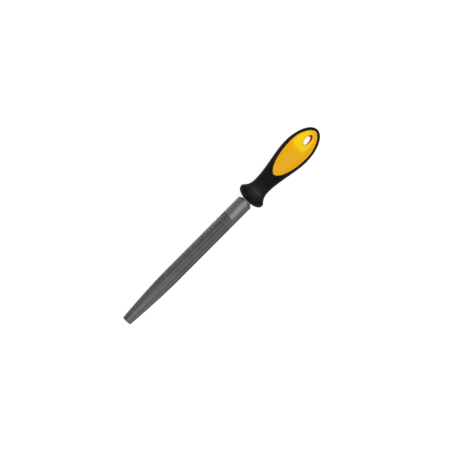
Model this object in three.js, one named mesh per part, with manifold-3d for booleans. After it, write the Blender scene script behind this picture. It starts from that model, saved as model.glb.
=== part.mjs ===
// A 200 mm half-round engineer's file in its two-material handle.
// It is three pieces: the forged steel file with its tang, the hard plastic core that the tang is
// driven into, and the soft grip that is moulded over the core and leaves a window on each face.
// Millimetres, +Z up. The tool lies along X, its point towards -X and its round back up. Every
// piece is made about the handle's axis, and the group then puts the origin under the middle of
// the tool's length, level with the lowest point of the handle.
import * as THREE from "three";
import { mergeVertices } from "three/addons/utils/BufferGeometryUtils.js";
import Module from "manifold-3d";

// Clearance drawn between pieces that in fact press or bond together.
const GAP = 0.3;

// The file. Places along it are measured from its point.
const FILE = {
  length: 200.9, // point to shoulder
  shoulder: 1.7, // length over which the blade narrows to its tang
  width: 19.7,
  thickness: 6,
  edge: 0.8, // height of each narrow side, below the round back
  pointWidth: 12.3,
  pointThickness: 3.2,
  widthTaper: 74, // length of the stretch that narrows towards the point
  thicknessTaper: 90,
  taperPower: 1.5,
  flatSide: -2.6, // height of the flat side over the handle's axis
};
const TANG = {
  start: 201.7, // inside the blade's shoulders
  length: 58,
  rootWidth: 12.8,
  rootThickness: 4.4,
  endWidth: 4,
  endThickness: 2.2,
  corner: 0.7, // chamfer along its four edges, at the root
};

// The handle. Places along it are measured from the front of its domed guard.
const HANDLE = {
  start: 202.9, // from the file's point
  length: 120.4,
  skin: 2, // thickness of the soft grip over the core
  rimAt: 9.4, // widest place of the guard
  neckAt: 26.2,
  tailAt: 112, // where the thin end begins to round off, seen from the side
  squareness: 0.4, // how far the belly's section goes from an ellipse to a box
};
// Half of the handle's width, seen from above.
const PLAN = { rim: 17.8, neck: 11.1, belly: 18.15, bellyAt: 84 };
// Half of its height, seen from the side. Behind the belly it thins to a flat tail.
const SIDE = { rim: 14.6, neck: 9.9, belly: 12.9, bellyAt: 68, tail: 6.2 };

// The window in the grip is an egg, drawn out to a blunt point at each end. A power of 0.5 would
// make that end half an ellipse, and a greater one makes it more pointed.
const WINDOW = {
  widestAt: 87,
  forward: 42.8,
  backward: 29.4,
  halfWidth: 14.25,
  frontPower: 0.55,
  backPower: 0.6,
};
const HANG_HOLE = { at: 101.8, halfLength: 7.3, halfWidth: 3.4 };

// Fineness of the faceting.
const HANDLE_SIDES = 32;
const HANDLE_STEPS = 9; // along each stretch of the handle's outline
const BACK_SIDES = 20; // across the round back of the file
const OVAL_SIDES = 48; // round the window, and round the hanging hole

const wasm = await Module();
wasm.setup();

// A closed three.js geometry as a solid that can be joined and cut.
function solid(geometry) {
  const bare = geometry.clone();
  bare.deleteAttribute("normal");
  bare.deleteAttribute("uv");
  const merged = mergeVertices(bare, 1e-4);
  return new wasm.Manifold(
    new wasm.Mesh({
      numProp: 3,
      vertProperties: merged.attributes.position.array,
      triVerts: new Uint32Array(merged.index.array),
    }),
  );
}

// A solid as a named three.js mesh.
function mesh(name, body, material) {
  const { vertProperties, triVerts } = body.getMesh();
  const geometry = new THREE.BufferGeometry();
  geometry.setAttribute("position", new THREE.BufferAttribute(vertProperties, 3));
  geometry.setIndex(new THREE.BufferAttribute(triVerts, 1));
  geometry.computeVertexNormals();
  const made = new THREE.Mesh(geometry, material);
  made.name = name;
  return made;
}

const mix = THREE.MathUtils.lerp;
// How far a value has gone from first to last, between 0 and 1.
const share = (value, first, last) => THREE.MathUtils.clamp((value - first) / (last - first), 0, 1);
// count + 1 evenly spaced values from first to last.
const spaced = (first, last, count) =>
  Array.from({ length: count + 1 }, (_, i) => mix(first, last, i / count));

// Moves every vertex of a geometry to the place that the rule gives for it.
function reshape(geometry, rule) {
  const position = geometry.attributes.position;
  for (let i = 0; i < position.count; i++) {
    position.setXYZ(i, ...rule(position.getX(i), position.getY(i), position.getZ(i)));
  }
  return geometry;
}

// Extrudes a section along X with one step per station. The rule gives what multiplies the
// section's width and height at a station.
function loft(section, stations, rule) {
  const steps = stations.length - 1;
  const bar = new THREE.ExtrudeGeometry(section, {
    depth: steps,
    steps,
    curveSegments: BACK_SIDES,
    bevelEnabled: false,
  });
  return reshape(bar, (across, up, step) => {
    const x = stations[Math.round(step)];
    const [widen, raise] = rule(x);
    return [x, across * widen, up * raise];
  });
}

// The file's width or thickness at a place along it: full at the heel, easing down to the point.
const tapered = (full, atPoint, stretch, x) =>
  full - (full - atPoint) * (1 - share(x, 0, stretch)) ** FILE.taperPower;

// The blade, a flat-bottomed bow in section, which ends in its shoulders.
function makeBlade() {
  const half = FILE.width / 2;
  const rise = FILE.thickness - FILE.edge;
  const radius = (half ** 2 + rise ** 2) / (2 * rise);
  const centre = FILE.thickness - radius;
  const spring = Math.atan2(FILE.edge - centre, half);
  const section = new THREE.Shape();
  section.moveTo(-half, 0);
  section.lineTo(half, 0);
  section.absarc(0, centre, radius, spring, Math.PI - spring, false);
  section.closePath();

  const end = FILE.length + FILE.shoulder;
  const stations = [...spaced(0, FILE.thicknessTaper, 18), FILE.length, end];
  const bar = loft(section, stations, (x) => {
    const width = tapered(FILE.width, FILE.pointWidth, FILE.widthTaper, x);
    const height = tapered(FILE.thickness, FILE.pointThickness, FILE.thicknessTaper, x);
    const narrowing = share(x, FILE.length, end);
    return [
      mix(width, TANG.rootWidth, narrowing) / FILE.width,
      height / FILE.thickness,
    ];
  });
  return bar.translate(0, 0, FILE.flatSide);
}

// The tang, or with grow above 0 the socket that holds it: a bar with chamfered edges that
// tapers to its end.
function makeTang(grow) {
  const side = 0.5 - TANG.corner / TANG.rootWidth;
  const top = 0.5 - TANG.corner / TANG.rootThickness;
  const section = new THREE.Shape([
    new THREE.Vector2(side, -0.5),
    new THREE.Vector2(0.5, -top),
    new THREE.Vector2(0.5, top),
    new THREE.Vector2(side, 0.5),
    new THREE.Vector2(-side, 0.5),
    new THREE.Vector2(-0.5, top),
    new THREE.Vector2(-0.5, -top),
    new THREE.Vector2(-side, -0.5),
  ]);
  const end = TANG.start + TANG.length;
  return loft(section, [TANG.start - grow, end + grow], (x) => {
    const along = share(x, TANG.start, end);
    return [
      mix(TANG.rootWidth, TANG.endWidth, along) + 2 * grow,
      mix(TANG.rootThickness, TANG.endThickness, along) + 2 * grow,
    ];
  });
}

const point = (x, y) => new THREE.Vector2(x, y);

// Half of the handle's outline as far as its belly, inset by a skin: the domed guard, the sweep in
// behind its rim to the neck, and the sweep out to the belly.
function outlineToBelly(half, inset) {
  const rim = half.rim - inset;
  const neck = half.neck - inset;
  const belly = half.belly - inset;
  const { rimAt, neckAt } = HANDLE;
  const outline = new THREE.CurvePath();
  outline.add(
    new THREE.CubicBezierCurve(
      point(inset, 0),
      point(inset + 0.9, rim / 3),
      point(inset + 1.7, rim),
      point(rimAt, rim),
    ),
  );
  outline.add(
    new THREE.CubicBezierCurve(
      point(rimAt, rim),
      point(rimAt + 3.6, rim),
      point(rimAt + 4.1, neck),
      point(neckAt, neck),
    ),
  );
  outline.add(
    new THREE.CubicBezierCurve(
      point(neckAt, neck),
      point(mix(neckAt, half.bellyAt, 0.34), neck),
      point(mix(neckAt, half.bellyAt, 0.69), belly),
      point(half.bellyAt, belly),
    ),
  );
  return outline;
}

// A quarter of an ellipse, from its highest point down to its end on the axis.
const roundedEnd = (from, to, height) =>
  new THREE.EllipseCurve(from, 0, to - from, height, Math.PI / 2, 0, true);

// The outline seen from above ends in a half ellipse.
function planOutline(inset) {
  const outline = outlineToBelly(PLAN, inset);
  outline.add(roundedEnd(PLAN.bellyAt, HANDLE.length - inset, PLAN.belly - inset));
  return outline.getPoints(HANDLE_STEPS);
}

// The outline seen from the side thins behind the belly and ends in a tight round.
function sideOutline(inset) {
  const belly = SIDE.belly - inset;
  const tail = SIDE.tail - inset;
  const { tailAt } = HANDLE;
  const outline = outlineToBelly(SIDE, inset);
  outline.add(
    new THREE.CubicBezierCurve(
      point(SIDE.bellyAt, belly),
      point(mix(SIDE.bellyAt, tailAt, 0.4), belly),
      point(mix(SIDE.bellyAt, tailAt, 0.72), tail + 1.6),
      point(tailAt, tail),
    ),
  );
  outline.add(roundedEnd(tailAt, HANDLE.length - inset, tail));
  return outline.getPoints(4 * HANDLE_STEPS);
}

// The height of an outline at a place along the handle.
function heightAt(outline, place) {
  const next = Math.max(outline.findIndex((p) => p.x >= place - 1e-6), 1);
  const before = outline[next - 1];
  const after = outline[next];
  return mix(before.y, after.y, share(place, before.x, after.x));
}

// The handle's whole form, inset by a skin: its outline from above turned round its axis, then
// flattened to its outline from the side, with a section that squares up towards the belly.
function handleForm(inset) {
  const side = sideOutline(inset);
  const plan = planOutline(inset);
  plan.at(0).y = 0;
  plan.at(-1).y = 0;
  const form = new THREE.LatheGeometry(plan.map((p) => point(p.y, p.x)), HANDLE_SIDES);
  return reshape(form, (across, along, up) => {
    const half = Math.hypot(across, up);
    const turn = Math.atan2(up, across);
    const square = HANDLE.squareness * share(along, HANDLE.neckAt, SIDE.bellyAt);
    const swell = (value) => Math.sign(value) * Math.abs(value) ** (2 / (2 + square));
    return [
      HANDLE.start + along,
      half * swell(Math.sin(turn)),
      half > 0 ? heightAt(side, along) * swell(Math.cos(turn)) : 0,
    ];
  });
}

// A cutter that passes right through the handle along Z, with an outline in places along it.
function throughCutter(outline) {
  const depth = 4 * SIDE.rim;
  const cutter = new THREE.ExtrudeGeometry(outline, {
    depth,
    curveSegments: OVAL_SIDES,
    bevelEnabled: false,
  });
  return cutter.translate(HANDLE.start, 0, -depth / 2);
}

function windowCutter(grow) {
  const turns = spaced(-Math.PI, Math.PI, OVAL_SIDES).slice(1);
  const egg = turns.map((turn) => {
    const along = Math.cos(turn);
    const across = Math.sin(turn);
    const reach = along > 0 ? WINDOW.backward : WINDOW.forward;
    const power = along > 0 ? WINDOW.backPower : WINDOW.frontPower;
    const width = (WINDOW.halfWidth + grow) * Math.abs(across) ** (2 * power);
    return point(WINDOW.widestAt + (reach + grow) * along, Math.sign(across) * width);
  });
  return throughCutter(new THREE.Shape(egg));
}

function hangHoleCutter() {
  const oval = new THREE.Shape();
  oval.absellipse(HANG_HOLE.at, 0, HANG_HOLE.halfLength, HANG_HOLE.halfWidth, 0, 2 * Math.PI);
  return throughCutter(oval);
}

const form = solid(handleForm(0));
const socket = solid(makeTang(GAP));

// The forged file: blade, shoulders and tang in one.
const file = solid(makeBlade()).add(solid(makeTang(0)));

// The core reaches the surface only in the two windows.
const core = form
  .intersect(solid(windowCutter(0)))
  .add(solid(handleForm(HANDLE.skin)))
  .subtract(solid(hangHoleCutter()))
  .subtract(socket);

// The grip is the rest of the handle's form, open at the windows and where the tang goes in.
const grip = form
  .subtract(solid(handleForm(HANDLE.skin - GAP)))
  .subtract(solid(windowCutter(GAP)))
  .subtract(socket);

const steel = new THREE.MeshStandardMaterial({ color: 0x5c5d5f, roughness: 0.45, metalness: 0.9 });
const hardPlastic = new THREE.MeshStandardMaterial({ color: 0xeab21c, roughness: 0.25 });
const softRubber = new THREE.MeshStandardMaterial({ color: 0x1e1e1f, roughness: 0.6 });

const tool = new THREE.Group();
tool.add(
  mesh("file_blade", file, steel),
  mesh("handle_core", core, hardPlastic),
  mesh("handle_grip", grip, softRubber),
);
tool.position.set(-(HANDLE.start + HANDLE.length) / 2, 0, SIDE.rim);

export default tool;
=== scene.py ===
import math

import bpy
import numpy as np
from mathutils import Matrix, Vector


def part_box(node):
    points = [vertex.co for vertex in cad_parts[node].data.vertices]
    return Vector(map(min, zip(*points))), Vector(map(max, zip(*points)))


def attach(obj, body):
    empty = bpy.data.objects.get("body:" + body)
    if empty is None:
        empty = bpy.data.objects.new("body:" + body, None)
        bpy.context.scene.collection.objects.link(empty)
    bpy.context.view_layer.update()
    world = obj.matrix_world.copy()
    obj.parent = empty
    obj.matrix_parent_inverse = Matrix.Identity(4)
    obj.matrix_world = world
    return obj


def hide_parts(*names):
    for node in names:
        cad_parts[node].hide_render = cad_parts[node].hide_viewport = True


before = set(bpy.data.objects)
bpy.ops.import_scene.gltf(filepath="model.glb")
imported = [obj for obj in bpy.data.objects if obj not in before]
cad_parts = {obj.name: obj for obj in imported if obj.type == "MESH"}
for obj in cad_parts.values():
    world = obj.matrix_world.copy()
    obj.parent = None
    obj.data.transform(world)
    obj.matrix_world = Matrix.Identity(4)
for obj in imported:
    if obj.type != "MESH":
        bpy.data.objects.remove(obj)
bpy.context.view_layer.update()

# ---- The forged file ------------------------------------------------------------------------
# One bar of carbon steel: forged to a half-round taper with a tang, ground, cut with a chisel in
# overlapping rows of teeth, and hardened. The heel next to the handle is left uncut, and the
# tang stays soft and is driven into the handle.
MM = 0.001

point_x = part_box("file_blade")[0].x
flat_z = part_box("file_blade")[0].z
tang_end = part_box("file_blade")[1].x
blade_width = 2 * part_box("file_blade")[1].y
blade_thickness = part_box("file_blade")[1].z - flat_z
axis_z = (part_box("handle_grip")[0].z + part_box("handle_grip")[1].z) / 2

cut_end = point_x + 175.6 * MM
shoulder = point_x + 200.9 * MM
shoulder_end = shoulder + 1.7 * MM
shoulder_face = 0.1 * MM  # where the blade's thickness steps down to the tang's
edge_height = 0.8 * MM
point_width = 12.3 * MM
point_thickness = 3.2 * MM
width_taper = 74 * MM
thickness_taper = 90 * MM
taper_power = 1.5

tang_root = point_x + 201.7 * MM
tang_half_width = (6.4 * MM, 2.0 * MM)
tang_half_thickness = (2.2 * MM, 1.1 * MM)
tang_spread = 1.2  # the back's middle 1 / 1.2 becomes the tang's top, and the rest its sides
tang_corners = 6  # 1 / (1 - 1 / 1.2)
tang_side = 1.6  # how far down its sides go, in half thicknesses
tang_hollow = 0.15  # how far its lower edges are turned up, in half thicknesses
tang_middle = axis_z

tooth_pitch = 0.86 * MM
tooth_rise = 0.24  # share of the pitch that the steep cutting face takes
tooth_depth = 0.13 * MM
track_bite = 0.2 * MM  # how much deeper a tooth is in the middle of its track
track_stagger = 0.12  # share of the pitch by which the tracks are out of step
flat_tooth_depth = 0.2 * MM
cut_slant = 0.34  # how far a cut runs lengthwise for each millimetre across
cut_straightens = 10 * MM  # the stretch at each end over which the cuts turn square
tracks = 5  # rows of chisel cuts side by side on the round back
columns_in_track = 14
overcut_columns = 5  # the second cuts cross the first ones at every fifth column
overcut_shift = 2
overcut_spread = 1.5  # columns over which a crossing fades out
overcut_depth = 0.09 * MM
flat_overcut_depth = 0.14 * MM
uncut_edge = 2  # columns over which the cuts fade out at each edge
columns = tracks * columns_in_track


def share(value, first, last):
    """How far a value has gone from first to last, from 0 to 1."""
    return np.clip((value - first) / (last - first), 0, 1)


def mix(first, last, part):
    return first + (last - first) * part


def coordinates(piece):
    co = np.empty(len(piece.data.vertices) * 3)
    piece.data.vertices.foreach_get("co", co)
    return co.reshape(-1, 3)


def sheet(across, along, place):
    """A grid of quads, each corner put where place(u, v) says, u across and v along, 0 to 1."""
    bpy.ops.object.select_all(action="DESELECT")
    bpy.ops.mesh.primitive_grid_add(x_subdivisions=across, y_subdivisions=along, size=1)
    grid = bpy.context.object
    u, v = (coordinates(grid)[:, :2] + 0.5).T
    x, y, z = place(u, v)
    grid.data.vertices.foreach_set("co", np.stack([x, y, z], axis=1).ravel())
    return grid


def joined(name, parts):
    """Joins sheets that share their edges into one piece."""
    bpy.ops.object.select_all(action="DESELECT")
    for part in parts:
        part.select_set(True)
    piece = parts[0]
    bpy.context.view_layer.objects.active = piece
    bpy.ops.object.join()
    piece.name = piece.data.name = name
    bpy.ops.object.mode_set(mode="EDIT")
    bpy.ops.mesh.select_all(action="SELECT")
    bpy.ops.mesh.remove_doubles(threshold=2e-6)
    bpy.ops.mesh.select_all(action="DESELECT")
    bpy.ops.object.mode_set(mode="OBJECT")
    return piece


def finished(piece, sharp_angle, material, node):
    """Turns the faces outwards, shades them and stands the piece in for its CAD node."""
    bpy.ops.object.mode_set(mode="EDIT")
    bpy.ops.mesh.select_all(action="SELECT")
    bpy.ops.mesh.normals_make_consistent(inside=False)
    bpy.ops.object.mode_set(mode="OBJECT")
    bpy.ops.object.shade_smooth_by_angle(angle=math.radians(sharp_angle))
    piece.data.materials.clear()
    piece.data.materials.append(material)
    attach(piece, "root")
    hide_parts(node)


def bridge_open_edges(piece):
    """Closes the piece with a wall between the open edges of its two sheets."""
    bpy.context.view_layer.objects.active = piece
    bpy.ops.object.mode_set(mode="EDIT")
    bpy.ops.mesh.select_mode(type="EDGE")
    bpy.ops.mesh.select_all(action="DESELECT")
    bpy.ops.mesh.select_non_manifold(
        extend=False, use_wire=False, use_boundary=True, use_multi_face=False,
        use_non_contiguous=False, use_verts=False,
    )
    bpy.ops.mesh.bridge_edge_loops()
    bpy.ops.mesh.select_mode(type="VERT")
    bpy.ops.object.mode_set(mode="OBJECT")


# One row at the foot and one at the tip of every tooth, then the smooth heel, the shoulders and
# the tang.
teeth = round((cut_end - point_x) / tooth_pitch)
tooth_feet = np.linspace(point_x, cut_end, teeth, endpoint=False)
row_x = np.sort(np.concatenate([
    tooth_feet,
    tooth_feet + tooth_rise * tooth_pitch,
    np.linspace(cut_end, shoulder, 25)[:-1],
    np.linspace(shoulder, shoulder_end, 7)[:-1],
    np.linspace(shoulder_end, tang_end, 25),
]))
rows = len(row_x) - 1


def tang_half_size(x, grow=0.0):
    """Half of the tang's width and thickness at x."""
    along = share(x, tang_root, tang_end)
    return mix(*tang_half_width, along) + grow, mix(*tang_half_thickness, along) + grow


def blade_half_width(x):
    taper = (1 - share(x, point_x, point_x + width_taper)) ** taper_power
    return (blade_width - (blade_width - point_width) * taper) / 2


def blade_height(x):
    """The blade's thickness at x, as a share of its thickness at the heel."""
    taper = (1 - share(x, point_x, point_x + thickness_taper)) ** taper_power
    return 1 - (1 - point_thickness / blade_thickness) * taper


back_rise = blade_thickness - edge_height
back_radius = ((blade_width / 2) ** 2 + back_rise ** 2) / (2 * back_rise)
back_spring = math.asin(blade_width / 2 / back_radius)


def lattice(u, v):
    """The row and column of each corner, and its place along the blade, slanted as the cuts are."""
    row = np.rint(v * rows).astype(int)
    column = np.rint(u * columns).astype(int)
    x = row_x[row]
    straight = share(x, point_x, point_x + cut_straightens)
    straight = straight * share(x, cut_end, cut_end - cut_straightens)
    straight = straight * straight * (3 - 2 * straight)
    lean = cut_slant * (0.5 - u) * 2 * blade_half_width(x)
    return row, column, x + lean * straight


def in_cut(row):
    return row < 2 * teeth


def tooth_foot(row):
    """1 at the foot of a tooth and 0 at its tip."""
    return np.where(in_cut(row) & (row > 0), 1 - row % 2, 0)


def overcut(row, column):
    """1 where a second cut crosses the tip of a tooth, easing to 0 on either side."""
    step = (column + overcut_shift * (row // 2)) % overcut_columns
    near = np.maximum(0, 1 - np.minimum(step, overcut_columns - step) / overcut_spread)
    return np.where(in_cut(row) & (row > 1), near, 0) * (1 - tooth_foot(row))


def to_tang(x, blade_y, blade_z, tang_y, tang_z):
    """Narrows the blade to the tang over the shoulders, then steps down to its thickness."""
    narrowed = share(x, shoulder, shoulder_end)
    step = share(x, shoulder_end - shoulder_face, shoulder_end)
    return mix(blade_y, tang_y, narrowed), mix(blade_z, tang_z, step)


def round_back(u, v):
    row, column, x = lattice(u, v)
    turn = (0.5 - u) * 2 * back_spring
    # A chisel's straight edge bites deepest in the middle of its track on the round.
    in_track = (column % columns_in_track) / columns_in_track
    bite = 1 - (2 * in_track - 1) ** 2
    stagger = np.sin(2.4 * (column // columns_in_track)) * track_stagger * tooth_pitch
    flank = np.minimum(1, (0.5 - np.abs(0.5 - u)) * columns / uncut_edge)
    depth = tooth_foot(row) * (tooth_depth + track_bite * bite) * flank
    depth = depth + overcut(row, column) * overcut_depth * flank
    x = x + np.where(in_cut(row) & (row > 1), stagger * flank, 0)
    radius = back_radius - depth
    widen = blade_half_width(x) / (blade_width / 2)
    y = radius * np.sin(turn) * widen
    z = flat_z + (blade_thickness - back_radius + radius * np.cos(turn)) * blade_height(x)
    half_width, half_thickness = tang_half_size(x)
    side = 1 - 2 * u
    tang_y = half_width * np.clip(side * tang_spread, -1, 1)
    drop = np.maximum(0, np.abs(side) - 1 / tang_spread) * tang_corners
    tang_z = tang_middle + half_thickness * (1 - tang_side * drop)
    return (x, *to_tang(x, y, z, tang_y, tang_z))


def flat_side(u, v):
    row, column, x = lattice(u, v)
    side = 1 - 2 * u
    flank = np.minimum(1, (0.5 - np.abs(0.5 - u)) * columns / uncut_edge)
    depth = tooth_foot(row) * flat_tooth_depth + overcut(row, column) * flat_overcut_depth
    depth = depth * flank
    y = blade_half_width(x) * np.sin(side * back_spring) / math.sin(back_spring)
    half_width, half_thickness = tang_half_size(x)
    tang_z = tang_middle - half_thickness * (1 - tang_hollow * side ** 8)
    return (x, *to_tang(x, y, flat_z + depth, half_width * side, tang_z))


# Steel: a dark hardened grey, faintly smudged warm here and there, bright where the ground
# heel shows. The grinding runs lengthwise in fine lines.
def new_material(name):
    made = bpy.data.materials.new(name)
    made.use_nodes = True
    return made, made.node_tree, made.node_tree.nodes["Principled BSDF"]


def node(tree, kind, inputs=None, **settings):
    """Adds a node. An input is set to a value or linked from another node's output."""
    made = tree.nodes.new(kind)
    for key, value in settings.items():
        setattr(made, key, value)
    for key, value in (inputs or {}).items():
        if isinstance(value, bpy.types.NodeSocket):
            tree.links.new(value, made.inputs[key])
        else:
            made.inputs[key].default_value = value
    return made


def ramp(tree, value, stops, interpolation="LINEAR"):
    """A colour ramp through (place, colour) stops."""
    made = node(tree, "ShaderNodeValToRGB", {"Fac": value})
    made.color_ramp.interpolation = interpolation
    elements = made.color_ramp.elements
    while len(elements) > 1:
        elements.remove(elements[-1])
    elements[0].position = stops[0][0]
    elements[0].color = (*stops[0][1], 1)
    for place, colour in stops[1:]:
        elements.new(place).color = (*colour, 1)
    return made.outputs["Color"]


def grey(value):
    return (value, value, value)


steel, tree, shader = new_material("file_steel")
place = node(tree, "ShaderNodeTexCoord").outputs["Object"]
along = node(tree, "ShaderNodeSeparateXYZ", {0: place}).outputs["X"]
smudge = node(tree, "ShaderNodeTexNoise", {"Vector": place, "Scale": 60.0, "Detail": 4.0})
grain = node(tree, "ShaderNodeTexNoise", {"Vector": place, "Scale": 900.0, "Detail": 3.0})
lengthwise = node(tree, "ShaderNodeMapping", {"Vector": place, "Scale": (60, 4000, 4000)})
grinding = node(tree, "ShaderNodeTexNoise", {"Vector": lengthwise.outputs[0], "Scale": 1.0})
ground = node(
    tree, "ShaderNodeMapRange",
    {"Value": along, "From Min": cut_end - 0.3 * MM, "From Max": cut_end + 0.3 * MM},
).outputs[0]
# Painted light and shade: the cut zone is painted in faint lengthwise bands, lighter towards the -Y side
# and darker in the middle, following how the light falls across the round back.
across_blade = node(
    tree, "ShaderNodeMapRange",
    {
        "Value": node(tree, "ShaderNodeSeparateXYZ", {0: place}).outputs["Y"],
        "From Min": -blade_width / 2, "From Max": blade_width / 2,
    },
).outputs[0]
painted_light_bands = ramp(tree, across_blade, [
    (0.02, grey(0.125)), (0.19, grey(0.165)), (0.28, grey(0.190)), (0.38, grey(0.115)),
    (0.50, grey(0.100)), (0.60, grey(0.092)), (0.72, grey(0.112)), (0.95, grey(0.108)),
])
soiled = ramp(tree, smudge.outputs[0], [(0.3, (0.96, 0.95, 0.93)), (0.7, grey(1.04))])
cut_tone = node(
    tree, "ShaderNodeMix", {"Factor": 1.0, "A": painted_light_bands, "B": soiled},
    data_type="RGBA", blend_type="MULTIPLY",
).outputs["Result"]
ground_tone = ramp(tree, grinding.outputs[0], [(0.3, grey(0.125)), (0.7, grey(0.16))])
tone = node(
    tree, "ShaderNodeMix", {"Factor": ground, "A": cut_tone, "B": ground_tone}, data_type="RGBA",
)
tree.links.new(tone.outputs["Result"], shader.inputs["Base Color"])
tree.links.new(
    node(
        tree, "ShaderNodeMapRange",
        {"Value": grain.outputs[0], "To Min": 0.40, "To Max": 0.54},
    ).outputs[0],
    shader.inputs["Roughness"],
)
shader.inputs["Metallic"].default_value = 1.0
lines = node(
    tree, "ShaderNodeBump",
    {"Height": grinding.outputs[0], "Strength": 0.25, "Distance": 0.02 * MM},
)
tree.links.new(lines.outputs[0], shader.inputs["Normal"])

cut_file = joined("cut_file", [
    sheet(columns, rows, round_back),
    sheet(columns, rows, flat_side),
])
bridge_open_edges(cut_file)
finished(cut_file, 28, steel, "file_blade")

# ---- The soft grip --------------------------------------------------------------------------
# Black thermoplastic rubber, moulded over the hard core: a domed guard, a slim neck, and a skin
# over the belly that leaves an egg-shaped window on each face.
grip_low, grip_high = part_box("handle_grip")
handle_length = 120.4 * MM
handle_start = grip_high.x - handle_length
gap = 0.3 * MM
grip_skin = 2 * MM
rim_at = 9.4 * MM
neck_at = 26.2 * MM
tail_at = 112 * MM
squareness = 0.4
# How full each curve of the outline is: how far its two handles reach.
guard_front = (0.9 * MM, 1.7 * MM)
guard_back = (3.6 * MM, 4.1 * MM)
neck_to_belly = (0.34, 0.69)
belly_to_tail = (0.4, 0.72)
tail_flare = 1.6 * MM
plan = {"rim": 17.8 * MM, "neck": 11.1 * MM, "belly": grip_high.y, "belly_at": 84 * MM}
side = {"rim": grip_high.z - axis_z, "neck": 9.9 * MM, "belly": 12.9 * MM, "belly_at": 68 * MM}
tail = 6.2 * MM
window = {"widest_at": 87 * MM, "forward": 42.8 * MM, "backward": 29.4 * MM, "half": 14.25 * MM}
front_power, back_power = 0.55, 0.6  # above 0.5, the window's end is more pointed than an ellipse
patch_at = 35 * MM  # from here back, the skin is laid round the window

around = 128  # quads round the handle
patch_sides = 80  # quads along each side, behind patch_at
patch_around = around // 2 + 2 * patch_sides
fillet_share = 0.2  # share of a sheet's rings that goes to its rounded edge
slot_power = 0.25  # 1 would make the slot an oval, and 0 a rectangle
window_front = math.radians(36)  # turn each side of the window's front that faces patch_at
slack = 1e-9  # for comparing places


def bezier(a, b, c, d, count=80):
    t = np.linspace(0, 1, count)[:, None]
    corners = [np.array(p) for p in (a, b, c, d)]
    weights = ((1 - t) ** 3, 3 * t * (1 - t) ** 2, 3 * t * t * (1 - t), t ** 3)
    return sum(weight * corner for weight, corner in zip(weights, corners))


def outline_to_belly(half, inset):
    """The domed guard, the sweep in to the neck and the sweep out to the belly."""
    rim, neck, belly = (half[name] - inset for name in ("rim", "neck", "belly"))
    at = half["belly_at"]
    return [
        bezier(
            (inset, 0), (inset + guard_front[0], rim / 3), (inset + guard_front[1], rim),
            (rim_at, rim),
        ),
        bezier(
            (rim_at, rim), (rim_at + guard_back[0], rim), (rim_at + guard_back[1], neck),
            (neck_at, neck),
        )[1:],
        bezier(
            (neck_at, neck), (mix(neck_at, at, neck_to_belly[0]), neck),
            (mix(neck_at, at, neck_to_belly[1]), belly), (at, belly),
        )[1:],
    ]


def round_end(start, end, height):
    turn = np.linspace(0, math.pi / 2, 80)[1:]
    return np.stack([start + (end - start) * np.sin(turn), height * np.cos(turn)], axis=1)


def plan_outline(inset):
    end = round_end(plan["belly_at"], handle_length - inset, plan["belly"] - inset)
    return np.concatenate([*outline_to_belly(plan, inset), end])


def side_outline(inset):
    at, belly, thin = side["belly_at"], side["belly"] - inset, tail - inset
    slope = bezier(
        (at, belly), (mix(at, tail_at, belly_to_tail[0]), belly),
        (mix(at, tail_at, belly_to_tail[1]), thin + tail_flare), (tail_at, thin),
    )
    end = round_end(tail_at, handle_length - inset, thin)
    return np.concatenate([*outline_to_belly(side, inset), slope[1:], end])


class Form:
    """The handle's outer form, inset by a skin, in places along the handle."""

    def __init__(self, inset):
        self.inset = inset
        self.plan = plan_outline(inset)
        self.side = side_outline(inset)

    def half_width(self, at):
        return np.interp(at, *self.plan.T)

    def half_height(self, at):
        return np.interp(at, *self.side.T)

    def power(self, at):
        return 2 + squareness * share(at, neck_at, side["belly_at"])

    def ring(self, at, turn):
        """The surface at a place along the handle and a turn round it, 0 on top."""
        swell = 2 / self.power(at)
        y = np.sign(np.sin(turn)) * np.abs(np.sin(turn)) ** swell * self.half_width(at)
        z = np.sign(np.cos(turn)) * np.abs(np.cos(turn)) ** swell * self.half_height(at)
        return y, z

    def height(self, at, y):
        """The height of the upper surface over the axis, seen from above."""
        power = self.power(at)
        reach = np.clip(np.abs(y) / np.maximum(self.half_width(at), slack), 0, 1)
        return self.half_height(at) * (1 - reach ** power) ** (1 / power)


def placed(at, y, z):
    return handle_start + at, y, axis_z + z


def egg(turn, grow=0.0):
    """The window's outline, turn 0 at its back end."""
    reach = np.where(np.cos(turn) > 0, window["backward"], window["forward"]) + grow
    power = np.where(np.cos(turn) > 0, back_power, front_power)
    width = (window["half"] + grow) * np.abs(np.sin(turn)) ** (2 * power)
    return window["widest_at"] + reach * np.cos(turn), np.sign(np.sin(turn)) * width


def slot_loop(at, turn, grow):
    """The tang's slot: a rectangle with rounded corners."""
    half_width, half_thickness = tang_half_size(handle_start + at, grow)
    y = np.sign(np.sin(turn)) * np.abs(np.sin(turn)) ** slot_power * half_width
    z = np.sign(np.cos(turn)) * np.abs(np.cos(turn)) ** slot_power * half_thickness
    return y, z


def dome(form, rim_radius, rings):
    """The guard's front, from the rounded edge of the tang's slot out to its widest ring."""
    dome_outline = form.plan[form.plan[:, 0] <= rim_at + slack]
    widest = plan["rim"] - form.inset, side["rim"] - form.inset

    def place(u, v):
        turn = 2 * math.pi * u
        fillet = share(v, 0, fillet_share) * math.pi / 2
        slot_y, slot_z = slot_loop(form.inset, turn, gap)
        length = np.hypot(slot_y, slot_z)
        out = 1 + rim_radius * (1 - np.cos(fillet)) / length
        part = share(v, fillet_share, 1)
        y = mix(slot_y * out, widest[0] * np.sin(turn), part)
        z = mix(slot_z * out, widest[1] * np.cos(turn), part)
        reach = np.hypot(y / widest[0], z / widest[1])
        at = np.interp(reach * widest[0], dome_outline[:, 1], dome_outline[:, 0])
        return placed(at + rim_radius * (1 - np.sin(fillet)), y, z)

    return sheet(around, rings, place)


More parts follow.
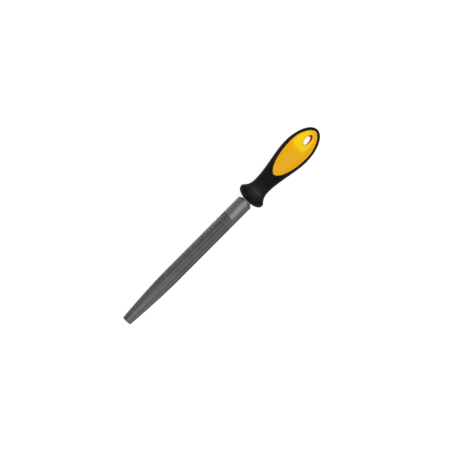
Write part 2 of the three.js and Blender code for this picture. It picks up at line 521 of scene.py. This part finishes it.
def sleeve(form, rings):
    """From the guard's widest ring back to where the skin goes round the window."""
    stretch = form.plan[(form.plan[:, 0] >= rim_at - slack) & (form.plan[:, 0] < patch_at)]
    stations = np.interp(
        np.linspace(0, 1, rings), np.linspace(0, 1, len(stretch)), stretch[:, 0],
    )
    stations = np.append(stations, patch_at)

    def place(u, v):
        at = stations[np.rint(v * rings).astype(int)]
        return placed(at, *form.ring(at, 2 * math.pi * u))

    return sheet(around, rings, place)


# The loop round the patch behind patch_at: across the handle from the -Y side to the +Y side,
# back along the +Y side to the end, and forward again along the -Y side.
def patch_edge(form, step):
    front = np.clip(step, 0, around // 2) / (around // 2)
    front_turn = math.pi * (front - 0.5)
    front_y = form.ring(patch_at, front_turn)[0]
    outline = form.plan[form.plan[:, 0] >= patch_at]
    outline = np.concatenate([[(patch_at, form.half_width(patch_at))], outline])
    run = np.append(0, np.cumsum(np.hypot(*np.diff(outline, axis=0).T)))
    back = (step - around // 2) / patch_sides
    distance = np.where(back <= 1, back, 2 - back) * run[-1]
    at = np.interp(distance, run, outline[:, 0])
    y = np.interp(distance, run, outline[:, 1]) * np.where(back <= 1, 1, -1)
    on_front = step <= around // 2
    return np.where(on_front, patch_at, at), np.where(on_front, front_y, y)


def window_turn(step):
    """The turn round the window that faces each step round the patch."""
    front = mix(-window_front, window_front, step / (around // 2)) + math.pi
    # The -Y side of the window's front faces the patch's first step.
    front = 2 * math.pi - front
    back = (step - around // 2) / (2 * patch_sides)
    behind = mix(math.pi - window_front, window_front - math.pi, back)
    return np.where(step <= around // 2, front, behind)


def window_patch(form, face, grow, rim_radius, rings):
    """The skin between a window's rounded rim and the handle's sides, face 1 above, -1 below."""

    def place(u, v):
        step = np.rint(u * patch_around)
        step = np.where(step == patch_around, 0, step)
        turn = window_turn(step)
        fillet = share(v, 0, fillet_share) * math.pi / 2
        edge_of_window = egg(turn, grow + rim_radius * (1 - np.cos(fillet)))
        edge_at, edge_y = patch_edge(form, step)
        part = np.sin(share(v, fillet_share, 1) * math.pi / 2)
        at = mix(edge_of_window[0], edge_at, part)
        y = mix(edge_of_window[1], edge_y, part)
        z = form.height(at, y) * (part < 1 - slack) - rim_radius * (1 - np.sin(fillet))
        on_front = (part > 1 - slack) & (step <= around // 2)
        front_turn = math.pi * (step / (around // 2) - 0.5)
        z = np.where(on_front, form.ring(patch_at, front_turn)[1], z)
        return placed(at, y, face * z)

    return sheet(patch_around, rings, place)


def window_wall(outer, inner, face, grow, rim_radius, rings):
    """The window's upright wall, from the foot of its rounded rim down to the inner skin."""

    def place(u, v):
        step = np.rint(u * patch_around)
        turn = window_turn(np.where(step == patch_around, 0, step))
        at, y = egg(turn, grow)
        z = mix(outer.height(at, y) - rim_radius, inner.height(at, y), v)
        return placed(at, y, face * z)

    return sheet(patch_around, rings, place)


def slot_wall(outer, inner, rim_radius, rings):
    """The wall of the tang's slot through the skin."""
    outer_sheet = outer.plan[outer.plan[:, 0] <= rim_at + slack]
    inner_sheet = inner.plan[inner.plan[:, 0] <= rim_at + slack]

    def front_at(form, outline, y, z):
        reach = np.hypot(y / (plan["rim"] - form.inset), z / (side["rim"] - form.inset))
        return np.interp(reach * (plan["rim"] - form.inset), outline[:, 1], outline[:, 0])

    def place(u, v):
        turn = 2 * math.pi * u
        start_y, start_z = slot_loop(outer.inset, turn, gap)
        end_y, end_z = slot_loop(inner.inset, turn, gap)
        start = front_at(outer, outer_sheet, start_y, start_z) + rim_radius
        end = front_at(inner, inner_sheet, end_y, end_z)
        return placed(mix(start, end, v), mix(start_y, end_y, v), mix(start_z, end_z, v))

    return sheet(around, rings, place)


grip_form = Form(0)
grip_lining = Form(grip_skin - gap)
grip_rim_radius = 0.5 * MM
slot_radius = 0.3 * MM
# A painted highlight: the lighter warm grey laid on the sweep behind the guard.
sweep_highlight_grey = (0.036, 0.034, 0.028)

rubber, tree, shader = new_material("grip_rubber")
place = node(tree, "ShaderNodeTexCoord").outputs["Object"]
cloudy = node(tree, "ShaderNodeTexNoise", {"Vector": place, "Scale": 45.0, "Detail": 3.0})
pebble = node(
    tree, "ShaderNodeTexVoronoi", {"Vector": place, "Scale": 2200.0}, feature="SMOOTH_F1",
)
black = ramp(tree, cloudy.outputs[0], [(0.35, grey(0.0048)), (0.65, grey(0.0066))])
# A painted highlight: the sweep behind the guard is painted a lighter warm grey, standing in for a soft
# reflection there.
spot = node(tree, "ShaderNodeSeparateXYZ", {0: place})
sweep_at = node(
    tree, "ShaderNodeMapRange",
    {"Value": spot.outputs["X"], "From Min": handle_start, "From Max": handle_start + 40 * MM},
).outputs[0]
highlight_along = ramp(tree, sweep_at, [
    (0.10, grey(0.0)), (0.24, grey(0.28)), (0.33, grey(0.42)), (0.38, grey(1.0)), (0.43, grey(0.42)),
    (0.58, grey(0.18)), (0.75, grey(0.0)),
])
highlight_across = node(
    tree, "ShaderNodeMapRange",
    {
        "Value": node(
            tree, "ShaderNodeMath", {0: spot.outputs["Y"]}, operation="ABSOLUTE",
        ).outputs[0],
        "From Min": 11 * MM, "From Max": 4 * MM,
    },
    interpolation_type="SMOOTHSTEP",
).outputs[0]
painted_highlight = node(
    tree, "ShaderNodeMath", {0: highlight_along, 1: highlight_across}, operation="MULTIPLY",
).outputs[0]
tree.links.new(
    node(
        tree, "ShaderNodeMix", {"Factor": painted_highlight, "A": black, "B": (*sweep_highlight_grey, 1)},
        data_type="RGBA",
    ).outputs["Result"],
    shader.inputs["Base Color"],
)
tree.links.new(
    node(
        tree, "ShaderNodeMapRange",
        {"Value": cloudy.outputs[0], "To Min": 0.42, "To Max": 0.56},
    ).outputs[0],
    shader.inputs["Roughness"],
)
pebbled = node(
    tree, "ShaderNodeBump",
    {"Height": pebble.outputs["Distance"], "Strength": 0.35, "Distance": 0.05 * MM},
)
tree.links.new(pebbled.outputs[0], shader.inputs["Normal"])
shader.inputs["Specular IOR Level"].default_value = 0.03

soft_grip = joined("soft_grip", [
    dome(grip_form, slot_radius, 40),
    sleeve(grip_form, 60),
    *[window_patch(grip_form, face, gap, grip_rim_radius, 25) for face in (1, -1)],
    *[window_wall(grip_form, grip_lining, face, gap, grip_rim_radius, 3) for face in (1, -1)],
    *[window_patch(grip_lining, face, gap, 0.0, 25) for face in (1, -1)],
    slot_wall(grip_form, grip_lining, slot_radius, 3),
    dome(grip_lining, 0.0, 40),
    sleeve(grip_lining, 60),
])
finished(soft_grip, 40, rubber, "handle_grip")

# ---- The hard core --------------------------------------------------------------------------
# Glossy amber plastic, moulded first. It fills the grip, holds the tang in a socket, stands
# level with the grip in both windows, and has the hanging hole moulded through it.
hole = {"at": 101.8 * MM, "half_length": 7.3 * MM, "half_width": 3.4 * MM}
core_rim_radius = 0.8 * MM
hole_radius = 0.7 * MM
edge_share = 0.14  # share of the face's rings that goes to each of its two rounded edges
# The second amber is a touch darker, for the window's edge by the tail; the lemon is painted light, a
# brighter yellow for the tail behind the tang.
amber_tone, tail_edge_tone = (0.665, 0.337, 0.005), (0.66, 0.325, 0.005)
lit_lemon_tone = (0.74, 0.513, 0.004)
# The hole's deep orange is painted shade and light for the wall of the hanging hole.
hole_tone = (0.62, 0.085, 0.005)


def oval(turn, grow):
    return (
        hole["at"] + (hole["half_length"] + grow) * np.cos(turn),
        (hole["half_width"] + grow) * np.sin(turn),
    )


def window_face(form, face, rings):
    """The core's face in a window, from its rounded rim in to the rounded edge of the hole."""

    def place(u, v):
        step = np.rint(u * patch_around)
        turn = window_turn(np.where(step == patch_around, 0, step))
        rim = share(v, 0, edge_share) * math.pi / 2
        lip = share(v, 1, 1 - edge_share) * math.pi / 2
        rim_place = egg(turn, -core_rim_radius * (1 - np.cos(rim)))
        lip_place = oval(turn, hole_radius * (1 - np.cos(lip)))
        part = share(v, edge_share, 1 - edge_share)
        at, y = (mix(a, b, part) for a, b in zip(rim_place, lip_place))
        drop = core_rim_radius * (1 - np.sin(rim)) + hole_radius * (1 - np.sin(lip))
        return placed(at, y, face * (form.height(at, y) - drop))

    return sheet(patch_around, rings, place)


def hole_wall(form, rings):
    """The hanging hole's wall, from the upper face through to the lower one."""

    def place(u, v):
        step = np.rint(u * patch_around)
        turn = window_turn(np.where(step == patch_around, 0, step))
        at, y = oval(turn, 0)
        return placed(at, y, (1 - 2 * v) * (form.height(at, y) - hole_radius))

    return sheet(patch_around, rings, place)


def socket(form, rings):
    """The tapered socket for the tang, closed at its end."""
    dome_outline = form.plan[form.plan[:, 0] <= rim_at + slack]
    widest = plan["rim"] - form.inset, side["rim"] - form.inset
    depth = tang_end + gap - handle_start

    def place(u, v):
        turn = 2 * math.pi * u
        mouth_y, mouth_z = slot_loop(form.inset, turn, gap)
        reach = np.hypot(mouth_y / widest[0], mouth_z / widest[1])
        mouth = np.interp(reach * widest[0], dome_outline[:, 1], dome_outline[:, 0])
        part = share(v, 0, (rings - 1) / rings)
        at = mix(mouth, depth, part)
        y, z = slot_loop(np.where(part == 0, form.inset, at), turn, gap)
        closing = np.where(v > 1 - 0.5 / rings, 0, 1)  # the last ring shuts to a point
        return placed(at, y * closing, z * closing)

    return sheet(around, rings, place)


core_form = Form(grip_skin)

amber, tree, shader = new_material("amber_plastic")
place = node(tree, "ShaderNodeTexCoord").outputs["Object"]
along = node(tree, "ShaderNodeSeparateXYZ", {0: place}).outputs["X"]
# Where the painted light on the tail begins, and the oval it fills.
lit_tail_from = handle_start + 84 * MM
lit_tail_middle = (handle_start + 96 * MM, 2.5 * MM)
lit_tail_radii = (20 * MM, 12.5 * MM)
lit_tail_along = node(
    tree, "ShaderNodeMapRange",
    {"Value": along, "From Min": lit_tail_from - 4 * MM, "From Max": lit_tail_from + 6 * MM},
).outputs[0]


def oval_reach(tree, place, centre, radii):
    """How far a place is from an upright oval's middle, 1 on the oval."""
    turned = node(
        tree, "ShaderNodeMapping",
        {
            "Vector": place,
            "Location": (-centre[0] / radii[0], -centre[1] / radii[1], 0),
            "Scale": (1 / radii[0], 1 / radii[1], 0),
        },
    )
    return node(
        tree, "ShaderNodeVectorMath", {0: turned.outputs[0]}, operation="LENGTH",
    ).outputs["Value"]


# Painted light: the plastic behind the tang, where the handle thins towards its end, is painted a
# brighter lemon yellow for the light it catches there, and amber again, a touch darker, towards the
# window's edge.
lit_tail_reach = oval_reach(tree, place, lit_tail_middle, lit_tail_radii)
tone = node(
    tree, "ShaderNodeMix",
    {
        "Factor": node(
            tree, "ShaderNodeMapRange",
            {"Value": lit_tail_reach, "From Min": 1.05, "From Max": 0.6},
            interpolation_type="SMOOTHSTEP",
        ).outputs[0],
        "A": (*tail_edge_tone, 1),
        "B": (*lit_lemon_tone, 1),
    },
    data_type="RGBA",
).outputs["Result"]
lit_tail_band = ramp(tree, lit_tail_along, [(0.0, grey(0)), (0.3, grey(0)), (0.85, grey(1))])
tone = node(
    tree, "ShaderNodeMix", {"Factor": lit_tail_band, "A": (*amber_tone, 1), "B": tone}, data_type="RGBA",
).outputs["Result"]
# Painted light and shade: the hanging hole's wall is painted a deep orange, for the shade in the hole
# and the light that has gone through more plastic.
in_hole = node(
    tree, "ShaderNodeMapRange",
    {
        "Value": oval_reach(
            tree, place, (handle_start + hole["at"], 0), (hole["half_length"], hole["half_width"]),
        ),
        "From Min": 1.3, "From Max": 1.0,
    },
    interpolation_type="SMOOTHSTEP",
).outputs[0]
tone = node(
    tree, "ShaderNodeMix",
    {"Factor": in_hole, "A": tone, "B": (*hole_tone, 1)},
    data_type="RGBA",
).outputs["Result"]
tree.links.new(tone, shader.inputs["Base Color"])
ripple = node(tree, "ShaderNodeTexNoise", {"Vector": place, "Scale": 180.0, "Detail": 2.0})
# The palm rubs the middle of the window satin; its rim keeps the mould's gloss.
satin = node(
    tree, "ShaderNodeMapRange", {"Value": ripple.outputs[0], "To Min": 0.22, "To Max": 0.32},
).outputs[0]
near_rim = node(
    tree, "ShaderNodeMapRange",
    {
        "Value": oval_reach(
            tree, place, (handle_start + window["widest_at"], 0), (36 * MM, window["half"]),
        ),
        "From Min": 0.72, "From Max": 0.92,
    },
    interpolation_type="SMOOTHSTEP",
).outputs[0]
gloss = node(
    tree, "ShaderNodeMix", {"Factor": near_rim, "A": satin, "B": 0.11},
).outputs["Result"]
tree.links.new(
    node(tree, "ShaderNodeMix", {"Factor": in_hole, "A": gloss, "B": 1.0}).outputs["Result"],
    shader.inputs["Roughness"],
)
rippled = node(
    tree, "ShaderNodeBump",
    {"Height": ripple.outputs[0], "Strength": 0.12, "Distance": 0.1 * MM},
)
tree.links.new(rippled.outputs[0], shader.inputs["Normal"])
shader.inputs["Specular IOR Level"].default_value = 0.07

hard_core = joined("hard_core", [
    dome(core_form, 0.0, 30),
    sleeve(core_form, 40),
    *[window_patch(core_form, face, 0.0, 0.0, 20) for face in (1, -1)],
    *[window_wall(grip_form, core_form, face, 0.0, core_rim_radius, 3) for face in (1, -1)],
    *[window_face(grip_form, face, 70) for face in (1, -1)],
    hole_wall(grip_form, 16),
    socket(core_form, 24),
])
finished(hard_core, 40, amber, "handle_core")

# ---- Floor, light and camera ----------------------------------------------------------------
# A pale matt table under one large soft lamp, with three small ones low down at the +Y side and
# the handle's end. The camera looks down on the round back, with the tool lying corner to corner,
# its point at the lower left.
table_size = 6
bpy.ops.object.select_all(action="DESELECT")
bpy.ops.mesh.primitive_plane_add(size=table_size)
table = bpy.context.object
table.name = "table"
pale, tree, shader = new_material("pale_table")
place = node(tree, "ShaderNodeTexCoord").outputs["Object"]
fleck = node(tree, "ShaderNodeTexNoise", {"Vector": place, "Scale": 8.0})
tree.links.new(
    ramp(tree, fleck.outputs[0], [(0.3, grey(0.30)), (0.7, grey(0.32))]),
    shader.inputs["Base Color"],
)
shader.inputs["Roughness"].default_value = 0.9
shader.inputs["Specular IOR Level"].default_value = 0.1
shader.inputs["Emission Color"].default_value = (1, 1, 1, 1)
shader.inputs["Emission Strength"].default_value = 0.78
table.data.materials.append(pale)

# The room is a little brighter and warmer on the -Y side.
world = bpy.data.worlds.new("studio")
bpy.context.scene.world = world
world.use_nodes = True
tree = world.node_tree
direction = node(
    tree, "ShaderNodeSeparateXYZ", {0: node(tree, "ShaderNodeTexCoord").outputs["Generated"]},
)
sideways = node(
    tree, "ShaderNodeMapRange",
    {"Value": direction.outputs["Y"], "From Min": -1.0, "From Max": 1.0, "To Min": 0.60, "To Max": 0.50},
)
background = tree.nodes["Background"]
tint = node(
    tree, "ShaderNodeMapRange",
    {"Value": direction.outputs["Y"], "From Min": -1.0, "From Max": 1.0},
).outputs[0]
tree.links.new(
    ramp(tree, tint, [(0.2, (1.0, 0.98, 0.94)), (0.8, (0.94, 0.97, 1.0))]),
    background.inputs["Color"],
)
tree.links.new(sideways.outputs[0], background.inputs["Strength"])


def lamp(name, place, aim, size, power):
    """A square soft lamp that shines at a point."""
    data = bpy.data.lights.new(name, "AREA")
    data.shape = "SQUARE"
    data.size = size
    data.energy = power
    made = bpy.data.objects.new(name, data)
    bpy.context.scene.collection.objects.link(made)
    made.location = place
    made.rotation_euler = (Vector(aim) - Vector(place)).to_track_quat("-Z", "Y").to_euler()
    return made


lamp("overhead", place=(0.1, -0.27, 1.6), aim=(0, 0, 0), size=1.4, power=17)
lamp("side_lamp", place=(-0.15, 0.9, 0.15), aim=(0.1, 0, 0), size=0.06, power=1.0)
lamp("end_lamp", place=(0.75, 0.85, 0.2), aim=(0.15, 0, 0), size=0.06, power=2.5)
lamp("low_lamp", place=(0.95, -0.02, 0.75), aim=(0.05, 0, 0), size=0.14, power=1.6)

middle = Vector((3.05 * MM, -2.1 * MM, axis_z))
roll = math.radians(4.5)  # the camera's lean towards the +Y side
turn = math.radians(45.1)  # how steeply the tool lies across the view
distance = 0.672
toward_camera = Vector((0, math.sin(roll), math.cos(roll)))
tool_axis = Vector((1, 0, 0))
across = Vector((0, math.cos(roll), -math.sin(roll)))
right = tool_axis * math.cos(turn) - across * math.sin(turn)
up = tool_axis * math.sin(turn) + across * math.cos(turn)

camera_data = bpy.data.cameras.new("camera")
camera_data.sensor_width = 36
camera_data.lens = 45
camera = bpy.data.objects.new("camera", camera_data)
bpy.context.scene.collection.objects.link(camera)
stand = Matrix((right, up, toward_camera)).transposed().to_4x4()
stand.translation = middle + toward_camera * distance
camera.matrix_world = stand
bpy.context.scene.camera = camera
bpy.context.scene.view_settings.view_transform = "Standard"
